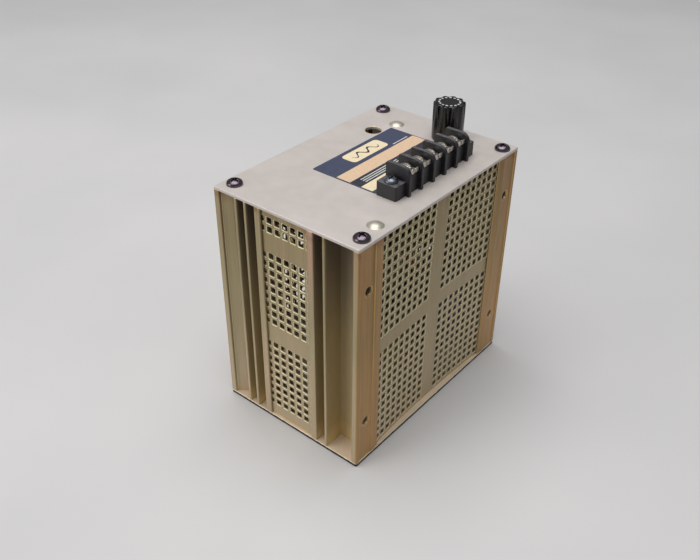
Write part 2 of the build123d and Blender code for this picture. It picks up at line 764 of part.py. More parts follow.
with BuildPart() as board_resistors:
    wire_half = 0.35
    wire_reach = 5.5
    axis_height = 1.9
    for y in resistor_ys:
        with Locations(Location((resistor_x, y, board_top + axis_height), (0, 90, 0))):
            Cylinder(1.2, 6.5)
            Cylinder(wire_half, 2 * wire_reach)
        for x in span(resistor_x, wire_reach):
            bar(span(x, wire_half), span(y, wire_half), (board_top, board_top + axis_height + wire_half))
save(board_resistors, "board_resistors")

pot_top = board_top + 6.6
pot_half = 4.8
rotor_seat = board_top + 4.0
rotor_radius = 3.0
with BuildPart() as trim_pot_body:
    bar(span(adjust_x, pot_half), span(adjust_y, pot_half), (board_top, pot_top))
    fillet(trim_pot_body.edges().filter_by(Axis.Z), 0.5)
    rod(adjust_x, adjust_y, (rotor_seat, pot_top + over), rotor_radius + 0.05, mode=Mode.SUBTRACT)
save(trim_pot_body, "trim_pot_body")

with BuildPart() as trim_pot_rotor:
    rod(adjust_x, adjust_y, (rotor_seat, pot_top + 2.4), rotor_radius)
    slot_z = (pot_top + 1.2, pot_top + 2.4 + over)
    bar(span(adjust_x, rotor_radius + over), span(adjust_y, 0.5), slot_z, mode=Mode.SUBTRACT)
save(trim_pot_rotor, "trim_pot_rotor")


# ---------------------------------------------------------------- power transistors on the front heat sinks
tab_z = span(transistor_screw_z, 3.2)
tab_half = 5.1
moulding_thick = 4.5
moulding_z = (tab_z[1], tab_z[1] + 9.2)
tab_back = floor_inner - insulator_thick
tab_hole = 1.85
insulator_half = 6.2
screw_head_thick = 2.0
screw_head_radius = 2.75
screw_reach = 3.8


def crossways(x, y):
    """Place on the front wall at the transistors' screw height, its axis along Y."""
    return Location((x, y, transistor_screw_z), (90, 0, 0))


with BuildPart() as pass_transistors:
    for x in (-transistor_x, transistor_x):
        bar(span(x, tab_half), (-tab_back, -tab_back + tab_thick), (tab_z[0], moulding_z[1]))
        bar(span(x, tab_half), (-tab_back, -tab_back + moulding_thick), moulding_z)
        with Locations(crossways(x, -tab_back)):
            Cylinder(tab_hole, 6.0, mode=Mode.SUBTRACT)
    for x, y in lead_places:
        bar(span(x, 0.4), span(y, 0.25), (moulding_z[1], board_top + 1.0))
save(pass_transistors, "pass_transistors")

with BuildPart() as transistor_insulators:
    insulator_z = (tab_z[0] - 1.0, moulding_z[1] + 1.0)
    for x in (-transistor_x, transistor_x):
        bar(span(x, insulator_half), (-floor_inner, -tab_back), insulator_z)
        with Locations(crossways(x, -floor_inner)):
            Cylinder(1.7, 2.0, mode=Mode.SUBTRACT)
save(transistor_insulators, "transistor_insulators")

with BuildPart() as transistor_screws:
    seat = -tab_back + tab_thick
    slot_y = (seat + screw_head_thick / 2 + 0.1, seat + screw_head_thick + over)
    for x in (-transistor_x, transistor_x):
        with Locations(crossways(x, seat + screw_head_thick / 2)):
            Cylinder(screw_head_radius, screw_head_thick)
        with Locations(crossways(x, seat - screw_reach / 2)):
            Cylinder(1.5, screw_reach)
        bar(span(x, 0.4), slot_y, span(transistor_screw_z, 3.0), mode=Mode.SUBTRACT)
save(transistor_screws, "transistor_screws")


# ---------------------------------------------------------------- internal wiring
wire_radius = 0.9


def make_wires(routes, bend):
    """Round leads along straight runs joined by tangent arcs."""
    with BuildPart() as wires:
        for route in routes:
            with BuildLine() as path:
                FilletPolyline(*route, radius=bend)
            with BuildSketch(Plane(origin=path.line @ 0, z_dir=path.line % 0)):
                Circle(wire_radius)
            sweep()
    return wires


coil_top = bobbin_z[1]
lead_x = 24.5
tail_middle = sum(tail_x) / 2
fuse_side_lug = (fuse_x, fuse_y - neck_radius - 5.0, lug_z - 0.4)
primary_routes = [
    [
        (lead_x, -6.0, coil_top),
        (lead_x, -6.0, 60.0),
        (lead_x, 10.0, 78.0),
        fuse_side_lug[:2] + (84.0,),
        fuse_side_lug,
    ],
    [
        (lead_x, -22.0, coil_top),
        (lead_x, -22.0, 62.0),
        (28.0, -8.0, 84.0),
        (tail_middle, terminal_ys[1], 94.0),
        (tail_middle, terminal_ys[1], tail_low),
    ],
]
save(make_wires(primary_routes, 5.0), "primary_leads")

fuse_routes = [
    [
        (fuse_x, fuse_y, pin_low),
        (fuse_x, fuse_y, 72.0),
        (30.0, 26.0, 70.0),
        (33.0, -4.0, 82.0),
        (tail_middle, terminal_ys[0], 96.0),
        (tail_middle, terminal_ys[0], tail_low),
    ],
]
save(make_wires(fuse_routes, 4.0), "fuse_lead")

secondary_routes = [
    [
        (-lead_x, y, coil_top),
        (-lead_x, y, 64.0),
        (-30.0, y - 6.0, 92.0),
        (-30.0, y - 6.0, board_low),
    ]
    for y in (-22.0, -10.0)
]
save(make_wires(secondary_routes, 6.0), "secondary_leads")
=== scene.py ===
import json
import math

import bmesh
import bpy
from mathutils import Matrix, Vector


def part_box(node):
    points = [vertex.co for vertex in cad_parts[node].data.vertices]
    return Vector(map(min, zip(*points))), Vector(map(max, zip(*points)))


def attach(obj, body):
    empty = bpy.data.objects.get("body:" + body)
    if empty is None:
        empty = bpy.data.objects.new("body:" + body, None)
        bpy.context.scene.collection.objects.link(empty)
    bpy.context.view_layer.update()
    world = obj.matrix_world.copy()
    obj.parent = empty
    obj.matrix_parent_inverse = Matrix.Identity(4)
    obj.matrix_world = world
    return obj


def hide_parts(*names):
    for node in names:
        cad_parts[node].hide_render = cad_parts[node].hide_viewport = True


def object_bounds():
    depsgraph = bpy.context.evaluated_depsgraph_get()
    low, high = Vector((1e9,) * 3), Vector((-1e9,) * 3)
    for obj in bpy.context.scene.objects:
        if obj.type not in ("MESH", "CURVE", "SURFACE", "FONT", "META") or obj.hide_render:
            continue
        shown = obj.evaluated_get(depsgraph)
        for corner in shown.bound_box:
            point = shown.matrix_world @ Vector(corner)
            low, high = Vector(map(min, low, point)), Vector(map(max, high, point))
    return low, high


# Looks of an open-vented linear DC power supply, in metres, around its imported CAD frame.
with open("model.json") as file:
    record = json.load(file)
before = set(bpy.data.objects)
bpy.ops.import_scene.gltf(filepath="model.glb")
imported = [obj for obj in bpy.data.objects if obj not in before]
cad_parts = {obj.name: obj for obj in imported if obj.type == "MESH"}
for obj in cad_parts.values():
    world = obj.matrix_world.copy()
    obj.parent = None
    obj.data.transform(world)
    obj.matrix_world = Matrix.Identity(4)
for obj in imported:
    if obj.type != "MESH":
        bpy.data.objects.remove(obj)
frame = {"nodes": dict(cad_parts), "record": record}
cad_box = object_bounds()
nodes = frame["nodes"]
body_with = {n: body for body, members in frame["record"]["behaviour"]["bodies"].items() for n in members}
slot_of = {part["node"]: part["material_slot"] for part in frame["record"]["subparts"]}
MM = 0.001


# ---------------------------------------------------------------- camera
def place_camera():
    """Camera as it stood when the object was photographed."""
    azimuth, elevation, roll = (math.radians(angle) for angle in (39.13, 34.40, 0.52))
    case_height = 0.1265
    across, rise, distance = (share * case_height for share in (0.07895, -0.38684, 3.77689))
    focal_pixels, picture_width = 839.88, 700
    level = Vector((math.cos(azimuth), math.sin(azimuth), 0))
    back = Vector((
        math.sin(azimuth) * math.cos(elevation),
        -math.cos(azimuth) * math.cos(elevation),
        math.sin(elevation),
    ))
    upright = back.cross(level)
    right = level * math.cos(roll) + upright * math.sin(roll)
    up = upright * math.cos(roll) - level * math.sin(roll)
    data = bpy.data.cameras.new("camera")
    data.sensor_width = 36.0
    data.lens = focal_pixels / picture_width * data.sensor_width
    data.clip_start = 0.01
    camera = bpy.data.objects.new("camera", data)
    turn = Matrix((right, up, back)).transposed()
    camera.matrix_world = turn.to_4x4()
    camera.location = back * distance - right * across - up * rise
    bpy.context.scene.collection.objects.link(camera)
    bpy.context.scene.camera = camera


# ---------------------------------------------------------------- materials
def linear(colour):
    """An sRGB colour of 0 to 255, as the shader's linear one."""
    shares = [value / 255 for value in colour]
    return [s / 12.92 if s <= 0.04045 else ((s + 0.055) / 1.055) ** 2.4 for s in shares] + [1.0]


class Finish:
    """A procedural material, put together from layers in the object's own space."""

    def __init__(self, name, **constants):
        self.material = bpy.data.materials.new(name)
        self.material.use_nodes = True
        self.tree = self.material.node_tree
        self.shader = self.tree.nodes["Principled BSDF"]
        for socket, value in constants.items():
            self.shader.inputs[socket.replace("_", " ")].default_value = value
        self.place = self.tree.nodes.new("ShaderNodeTexCoord").outputs["Object"]

    def node(self, kind, values=(), **settings):
        made = self.tree.nodes.new(kind)
        for key, value in settings.items():
            setattr(made, key, value)
        for key, value in dict(values).items():
            if isinstance(value, bpy.types.NodeSocket):
                self.tree.links.new(value, made.inputs[key])
            else:
                made.inputs[key].default_value = value
        return made

    def moved(self, stretch, shift=0.0):
        """Object coordinates stretched along each axis, and shifted so that layers differ."""
        return self.node("ShaderNodeMapping", {0: self.place, 1: (shift,) * 3, 3: stretch}).outputs[0]

    def noise(self, size, stretch=(1, 1, 1), detail=3.0, shift=0.0):
        """Cloudy 0 to 1 pattern, with features about size millimetres wide."""
        scale = 1 / (size * MM)
        return self.node(
            "ShaderNodeTexNoise",
            {"Vector": self.moved(stretch, shift), "Scale": scale, "Detail": detail},
        ).outputs[0]

    def cells(self, size, stretch=(1, 1, 1), feature="F1"):
        """Distance pattern of scattered points, size millimetres apart."""
        return self.node(
            "ShaderNodeTexVoronoi",
            {"Vector": self.moved(stretch), "Scale": 1 / (size * MM)},
            feature=feature,
        ).outputs[0]

    def bands(self, size, axis):
        """Even waves along an axis, size millimetres from crest to crest."""
        per_wave = math.tau / 20
        return self.node(
            "ShaderNodeTexWave",
            {"Vector": self.place, "Scale": per_wave / (size * MM)},
            bands_direction=axis,
        ).outputs[1]

    def along(self, axis, low, high):
        """0 at low to 1 at high, in millimetres along an axis."""
        split = self.node("ShaderNodeSeparateXYZ", {0: self.place})
        return self.span(split.outputs[axis], low * MM, high * MM)

    def size_of(self, axis):
        """Distance from the object's middle plane, whichever side."""
        split = self.node("ShaderNodeSeparateXYZ", {0: self.place})
        return self.node("ShaderNodeMath", {0: split.outputs[axis]}, operation="ABSOLUTE").outputs[0]

    def along_tones(self, axis, places, values):
        """Values that follow one another at places in millimetres along an axis."""
        share = self.along(axis, places[0], places[-1])
        ramp = self.node("ShaderNodeValToRGB", {0: share})
        stops = ramp.color_ramp.elements
        for number, (place, value) in enumerate(zip(places, values)):
            at = (place - places[0]) / (places[-1] - places[0])
            stop = stops[number] if number < 2 else stops.new(at)
            stop.position = at
            stop.color = (value, value, value, 1.0)
        return ramp.outputs[0]

    def span(self, value, low, high, to_low=0.0, to_high=1.0):
        """Maps low to high of a value onto to_low to to_high, and holds it there."""
        limits = {0: value, 1: low, 2: high, 3: to_low, 4: to_high}
        return self.node("ShaderNodeMapRange", limits).outputs[0]

    def upward(self, low=0.6, high=0.98):
        """1 on faces that look up, where dust settles."""
        normal = self.node("ShaderNodeNewGeometry").outputs["Normal"]
        split = self.node("ShaderNodeSeparateXYZ", {0: normal})
        return self.span(split.outputs[2], low, high)

    def times(self, a, b):
        return self.node("ShaderNodeMath", {0: a, 1: b}, operation="MULTIPLY").outputs[0]

    def tones(self, value, colours, low=0.3, high=0.7):
        """Colours spread evenly from low to high of a pattern."""
        ramp = self.node("ShaderNodeValToRGB", {0: value})
        stops = ramp.color_ramp.elements
        for number, colour in enumerate(colours):
            at = low + (high - low) * number / (len(colours) - 1)
            stop = stops[number] if number < 2 else stops.new(at)
            stop.position = at
            stop.color = linear(colour)
        return ramp.outputs[0]

    def mix(self, share, under, over, blend="MIX"):
        made = self.node("ShaderNodeMix", {0: share}, data_type="RGBA", blend_type=blend)
        for key, value in ((6, under), (7, over)):
            if isinstance(value, bpy.types.NodeSocket):
                self.tree.links.new(value, made.inputs[key])
            else:
                made.inputs[key].default_value = linear(value)
        return made.outputs[2]

    def surface(self, colour, roughness, rough_by, bump_by, height, strength=1.0):
        """Joins the layers up: roughness is (least, most), height in millimetres."""
        self.tree.links.new(colour, self.shader.inputs["Base Color"])
        rough = self.span(rough_by, 0.25, 0.75, *roughness)
        self.tree.links.new(rough, self.shader.inputs["Roughness"])
        relief = {"Strength": strength, "Distance": height * MM, "Height": bump_by}
        bump = self.node("ShaderNodeBump", relief)
        self.tree.links.new(bump.outputs[0], self.shader.inputs["Normal"])
        return self.material


def chromate(name, tones, streaks, streak_share, metallic, roughness, recessed=0.0):
    """Conversion-coated aluminium: wide shifts of hue, upright drawn streaks, painted light toward the
    bottom, brown patches under the top, and painted light and shade in the recesses.
    """
    made = Finish(name, Metallic=metallic, Specular_IOR_Level=0.5)
    along_z = (1, 1, 0.02)
    hue = made.noise(11.0, (1, 1, 0.06), 2.0)
    streak = made.noise(1.1, along_z, 5.0, 3.0)
    colour = made.mix(streak_share, made.tones(hue, tones), made.tones(streak, streaks), "OVERLAY")
    # Painted light: the faces grow lighter toward the bottom, pinkish in patches, with a pale wash that
    # grows toward the base.
    patches = made.span(made.noise(14.0, (1, 1, 0.2), shift=1.0), 0.4, 0.65, 0.0, 0.35)
    painted_light_low = made.times(made.along(2, 80, 4), patches)
    colour = made.mix(painted_light_low, colour, (214, 176, 146))
    colour = made.mix(made.times(made.along(2, 110, 4), 0.3), colour, (236, 222, 190))
    # Brown patches near the top, just under the top panel.
    top_brown = made.times(made.along(2, 118, 125), made.span(made.noise(7.0), 0.48, 0.64, 0.0, 0.7))
    colour = made.mix(top_brown, colour, (124, 82, 52))
    # Painted light and shade in the recesses between the fins: a pale lift everywhere in them, then painted
    # shade that deepens toward the top.
    depth = made.span(made.size_of(1), 63.7 * MM, 62.4 * MM, 0.0, recessed)
    inner = made.span(made.size_of(0), 35.0 * MM, 33.4 * MM)
    recess = made.times(depth, inner)
    colour = made.mix(made.times(recess, 0.75), colour, (226, 206, 150))
    # Painted shade in purple-grey, darkest toward the top under the top panel.
    recess_shade = made.times(recess, made.along_tones(2, (4, 14, 70, 122), (0.0, 0.3, 0.42, 0.85)))
    colour = made.mix(recess_shade, colour, (92, 82, 84))
    outer = made.span(made.size_of(0), 42.4 * MM, 43.0 * MM, 0.0, 0.9)
    colour = made.mix(outer, colour, (240, 208, 160), "MULTIPLY")
    grain = made.noise(0.25, along_z, 6.0)
    return made.surface(colour, roughness, made.noise(2.5, (1, 1, 0.2)), grain, 0.02, 0.35)


def sheet_metal(name, tones, metallic, roughness, marks):
    """Etched sheet: soft clouds of tone, rolling grain and small marks."""
    made = Finish(name, Metallic=metallic)
    colour = made.tones(made.noise(26.0, detail=4.0), tones)
    scuffs = made.span(made.cells(7.0, (1, 0.35, 1)), 0.045, 0.02)
    colour = made.mix(made.times(scuffs, 0.5), colour, marks)
    fine = made.tones(made.noise(0.5, (1, 0.15, 1), 5.0), [(122, 122, 122), (134, 134, 134)])
    colour = made.mix(0.5, colour, fine, "OVERLAY")
    grain = made.noise(0.35, (1, 0.12, 1), 6.0)
    return made.surface(colour, roughness, made.noise(6.0), grain, 0.015, 0.3)


def base_metal(name, tones):
    """The base plate's own sheet: its upright side below the ledge is painted near-black as shade."""
    made = Finish(name, Metallic=0.3)
    brushed = (1, 0.12, 1)
    clean = made.tones(made.noise(18.0, detail=4.0), tones)
    # Painted shade: the plate's upright side, below about 1.6 mm, is coloured dark brown-black, with a
    # ragged top line.
    side_shade = made.tones(made.noise(3.0, detail=5.0), [(30, 27, 25), (58, 50, 44)])
    rise = made.along(2, 1.2, 2.0)
    wander = made.span(made.noise(2.0), 0.3, 0.7, -0.3, 0.3)
    ragged = made.node("ShaderNodeMath", {0: rise, 1: wander}).outputs[0]
    colour = made.mix(made.span(ragged, 0.4, 0.6), side_shade, clean)
    grain = made.noise(0.35, brushed, 6.0)
    return made.surface(colour, (0.42, 0.6), made.noise(5.0), grain, 0.015, 0.3)


def plated(name, tones, roughness, size=1.6, metallic=1.0):
    """Plated steel with tarnish clouds and handling wear."""
    made = Finish(name, Metallic=metallic)
    colour = made.tones(made.noise(size, detail=4.0), tones)
    return made.surface(colour, roughness, made.noise(0.8), made.noise(0.3, detail=5.0), 0.012, 0.4)


def moulded(name, base, dust, dust_share, roughness, mottling=0.16, **constants):
    """Moulded plastic or film: fine pitting, and dust that settles in patches."""
    made = Finish(name, **constants)
    lie = made.span(made.noise(3.0, detail=6.0), 0.42, 0.75, 0.0, dust_share)
    mottle = [
        tuple(v * (1 - mottling) for v in base),
        tuple(min(255, v * (1 + mottling)) for v in base),
    ]
    colour = made.mix(lie, made.tones(made.noise(1.2, detail=4.0), mottle), dust)
    pits = made.noise(0.2, detail=6.0)
    return made.surface(colour, roughness, made.noise(1.5, detail=4.0), pits, 0.02, 0.4)


def phenolic(name, base, dust, dust_share):
    """Black moulding compound with pale dust lying on what looks up."""
    made = Finish(name)
    shades = [tuple(v * 0.8 for v in base), tuple(v * 1.2 for v in base)]
    mottle = made.tones(made.noise(1.2, detail=4.0), shades)
    patches = made.span(made.noise(2.2, detail=6.0), 0.35, 0.65, 0.35, 1.0)
    lie = made.times(made.span(made.upward(), 0.0, 1.0, 0.06, dust_share), patches)
    colour = made.mix(lie, mottle, dust)
    pits = made.noise(0.2, detail=6.0)
    return made.surface(colour, (0.3, 0.5), made.noise(1.5, detail=4.0), pits, 0.02, 0.4)


def wound(name, base, dark, size, axis, metallic, roughness):
    """Wire or tape wound in layers."""
    made = Finish(name, Metallic=metallic)
    turns = made.bands(size, axis)
    colour = made.mix(made.span(turns, 0.35, 0.0), base, dark)
    shades = made.tones(made.noise(5.0), [(110, 110, 110), (146, 146, 146)])
    colour = made.mix(0.4, colour, shades, "OVERLAY")
    return made.surface(colour, roughness, made.noise(2.0), turns, size / 3)


def make_finishes():
    """The main material of each slot, with that of its worn edges where it has them."""
    gold = [(190, 168, 136), (194, 176, 138), (180, 166, 124), (200, 174, 146)]
    gold_streaks = [(98, 96, 92), (126, 125, 124), (158, 154, 146)]
    pale_gold = [(228, 208, 172), (214, 198, 160), (234, 218, 184)]
    grille = [(176, 154, 116), (168, 150, 110), (174, 156, 116)]
    plain_streaks = [(112, 110, 108), (128, 128, 128), (146, 142, 136)]
    pale_grille = [(226, 220, 188), (214, 208, 178), (230, 224, 196)]
    panel = [(214, 208, 205), (209, 204, 200), (216, 209, 207)]
    pale_panel = [(240, 226, 206), (226, 212, 190)]
    bright = [(170, 176, 144), (188, 178, 172), (176, 180, 156)]
    nickel = [(214, 212, 208), (196, 186, 172), (222, 222, 220)]
    found = {
        "gold_chromate": (
            chromate("gold_chromate", gold, gold_streaks, 0.55, 0.5, (0.32, 0.5), 1.0),
            chromate("gold_chromate_edge", pale_gold, plain_streaks, 0.4, 0.6, (0.3, 0.42), 1.0),
        ),
        "grille_metal": (
            chromate("grille_metal", grille, plain_streaks, 0.4, 0.35, (0.4, 0.55)),
            chromate("grille_metal_edge", pale_grille, plain_streaks, 0.3, 0.5, (0.34, 0.44)),
        ),
        "panel_metal": (
            sheet_metal("panel_metal", panel, 0.25, (0.42, 0.55), (176, 164, 154)),
            sheet_metal("panel_metal_edge", pale_panel, 0.5, (0.3, 0.42), (170, 150, 128)),
        ),
        "dark_plated_steel": (
            plated("dark_plated_steel", [(88, 80, 90), (104, 94, 102), (80, 74, 88)], (0.2, 0.3)),
            plated("dark_plated_steel_edge", [(108, 98, 104), (90, 82, 92)], (0.24, 0.36)),
        ),
        "bright_steel": (
            plated("bright_steel", bright, (0.34, 0.44), 2.4, 0.6),
            plated("bright_steel_edge", [(190, 190, 176), (176, 172, 160)], (0.5, 0.6), 2.4, 0.4),
        ),
        "nickel_plate": (
            plated("nickel_plate", nickel, (0.24, 0.36), 1.6, 0.9),
            plated("nickel_plate_edge", [(230, 228, 222), (216, 210, 200)], (0.24, 0.34), 1.6, 0.9),
        ),
        "black_phenolic": (phenolic("black_phenolic", (19, 19, 24), (122, 120, 124), 0.58),),
        "black_gloss_plastic": (
            moulded("black_gloss_plastic", (5, 5, 6), (40, 38, 44), 0.06, (0.14, 0.22)),
            moulded("black_gloss_plastic_edge", (14, 14, 16), (70, 68, 70), 0.15, (0.12, 0.2)),
        ),
        "fuse_brass": (plated("fuse_brass", [(196, 182, 140), (178, 160, 116)], (0.2, 0.35)),),
        "bobbin_nylon": (moulded("bobbin_nylon", (204, 196, 172), (150, 138, 116), 0.3, (0.4, 0.55)),),
        "capacitor_sleeve": (moulded("capacitor_sleeve", (40, 52, 96), (96, 96, 104), 0.2, (0.24, 0.4)),),
        "epoxy_black": (moulded("epoxy_black", (36, 36, 38), (90, 88, 86), 0.2, (0.45, 0.62)),),
        "resistor_body": (moulded("resistor_body", (186, 156, 116), (120, 100, 80), 0.2, (0.3, 0.45)),),
        "mica": (moulded("mica", (206, 202, 186), (150, 146, 130), 0.3, (0.3, 0.5)),),
        "trim_blue": (moulded("trim_blue", (38, 76, 146), (110, 116, 128), 0.2, (0.35, 0.5)),),
        "white_nylon": (moulded("white_nylon", (224, 222, 212), (170, 164, 150), 0.25, (0.35, 0.5)),),
        "lead_black": (moulded("lead_black", (26, 26, 28), (84, 82, 80), 0.2, (0.35, 0.5)),),
        "lead_red": (moulded("lead_red", (150, 28, 24), (120, 90, 84), 0.2, (0.35, 0.5)),),
        "lead_yellow": (moulded("lead_yellow", (190, 158, 48), (130, 116, 84), 0.2, (0.35, 0.5)),),
        "copper_wire": (wound("copper_wire", (176, 92, 48), (70, 32, 18), 0.6, "Z", 0.9, (0.25, 0.4)),),
        "coil_tape": (wound("coil_tape", (196, 162, 60), (150, 118, 40), 8.0, "Z", 0.0, (0.25, 0.4)),),
        "lamination_steel": (
            wound("lamination_steel", (74, 70, 68), (38, 34, 32), 0.7, "Y", 0.6, (0.4, 0.6)),
        ),
    }
    base = base_metal("base_metal", [(226, 208, 184), (212, 192, 166)])
    found["base_plate"] = (base, found["panel_metal"][1])
    steels = [(122, 128, 138), (98, 102, 110), (140, 146, 152)]
    grey = plated("ear_screw_steel", steels, (0.3, 0.42), 1.2)
    found["terminal_block_screws"] = (grey, grey)
    board = Finish("board_laminate")
    weave = board.times(board.bands(1.1, "X"), board.bands(1.1, "Y"))
    green = board.mix(board.span(weave, 0.0, 0.6, 0.0, 0.4), (70, 84, 34), (96, 108, 52))
    found["board_laminate"] = (board.surface(green, (0.3, 0.45), board.noise(4.0), weave, 0.02, 0.5),)
    glass = Finish("fuse_glass", Transmission_Weight=1.0, IOR=1.47)
    clear = glass.tones(glass.noise(2.0), [(232, 240, 238), (244, 248, 246)])
    ripple = glass.noise(4.0)
    found["fuse_glass"] = (glass.surface(clear, (0.01, 0.05), glass.noise(1.0), ripple, 0.01, 0.2),)
    return found


# ---------------------------------------------------------------- pieces
def put(bm, name, node, materials):
    """Makes an object of a shape, riding with and standing for the CAD node it replaces."""
    mesh = bpy.data.meshes.new(name)
    bm.to_mesh(mesh)
    bm.free()
    for material in materials:
        mesh.materials.append(material)
    piece = bpy.data.objects.new(name, mesh)
    bpy.context.scene.collection.objects.link(piece)
    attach(piece, body_with[node])
    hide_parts(node)
    return piece


def smooth(piece, angle=35.0):
    """Rounded faces shade smoothly, and large flat faces stay flat."""
    piece.data.shade_smooth()
    piece.data.set_sharp_from_angle(angle=math.radians(angle))
    weighted = piece.modifiers.new("weighted", "WEIGHTED_NORMAL")
    weighted.keep_sharp = True


def refined(node, width, angle=30.0):
    """The CAD shape with its hard edges rolled over, width millimetres wide, and worn there."""
    finishes = finish_of.get(node, finish_of[slot_of[node]])
    bm = bmesh.new()
    bm.from_mesh(nodes[node].data)
    for face in bm.faces:
        face.material_index = 0
    weld_distance, flat_angle = 0.002 * MM, math.radians(0.5)
    bmesh.ops.remove_doubles(bm, verts=bm.verts, dist=weld_distance)
    bmesh.ops.dissolve_limit(bm, angle_limit=flat_angle, verts=bm.verts, edges=bm.edges)
    limit = math.radians(angle)
    hard = [e for e in bm.edges if len(e.link_faces) == 2 and e.calc_face_angle(0) > limit]
    made = bmesh.ops.bevel(
        bm, geom=hard, offset=width * MM, segments=2, profile=0.5, affect="EDGES", clamp_overlap=False
    )
    if len(finishes) > 1:
        for face in made["faces"]:
            face.material_index = 1
    piece = put(bm, node + "_visual", node, finishes)
    smooth(piece)
    return piece


def bridge(bm, lower, upper, material=0):
    """Faces between two closed rings of as many vertices."""
    count = len(lower)
    for k in range(count):
        face = bm.faces.new((lower[k], lower[(k + 1) % count], upper[(k + 1) % count], upper[k]))
        face.material_index = material


def ring(bm, points):
    """Vertices at points given in millimetres."""
    return [bm.verts.new([value * MM for value in point]) for point in points]


def face_outwards(bm):
    """Turns every face of a closed shape outwards, which its own volume confirms."""
    bmesh.ops.recalc_face_normals(bm, faces=bm.faces)
    if bm.calc_volume(signed=True) < 0:
        bmesh.ops.reverse_faces(bm, faces=bm.faces)


def lathe(bm, middle, profile, segments=64, material=0):
    """Turned solid on an upright axis: profile is (radius, height) from lower to upper pole."""
    rings = []
    for radius, height in profile[1:-1]:
        turns = [math.tau * k / segments for k in range(segments)]
        rings.append(ring(bm, [
            (middle[0] + radius * math.cos(t), middle[1] + radius * math.sin(t), height) for t in turns
        ]))
    for lower, upper in zip(rings, rings[1:]):
        bridge(bm, lower, upper, material)
    for pole, edge, flip in ((profile[0], rings[0], True), (profile[-1], rings[-1], False)):
        tip = ring(bm, [(middle[0], middle[1], pole[1])])[0]
        for k in range(segments):
            pair = (edge[k], edge[(k + 1) % segments])
            bm.faces.new((tip,) + (pair[::-1] if flip else pair)).material_index = material


def slab(bm, x, y, z, corner, material=0, steps=4):
    """Flat plate with round corners, between two limits on each axis, in millimetres."""
    outline = []
    for quarter, (side_x, side_y) in enumerate(((1, 1), (-1, 1), (-1, -1), (1, -1))):
        middle_x = (x[1] - corner) if side_x > 0 else (x[0] + corner)
        middle_y = (y[1] - corner) if side_y > 0 else (y[0] + corner)
        for k in range(steps + 1):
            turn = math.pi / 2 * (quarter + k / steps)
            outline.append((middle_x + corner * math.cos(turn), middle_y + corner * math.sin(turn)))
    low, high = (ring(bm, [point + (height,) for point in outline]) for height in z)
    bridge(bm, low, high, material)
    bm.faces.new(low[::-1]).material_index = material
    bm.faces.new(high).material_index = material


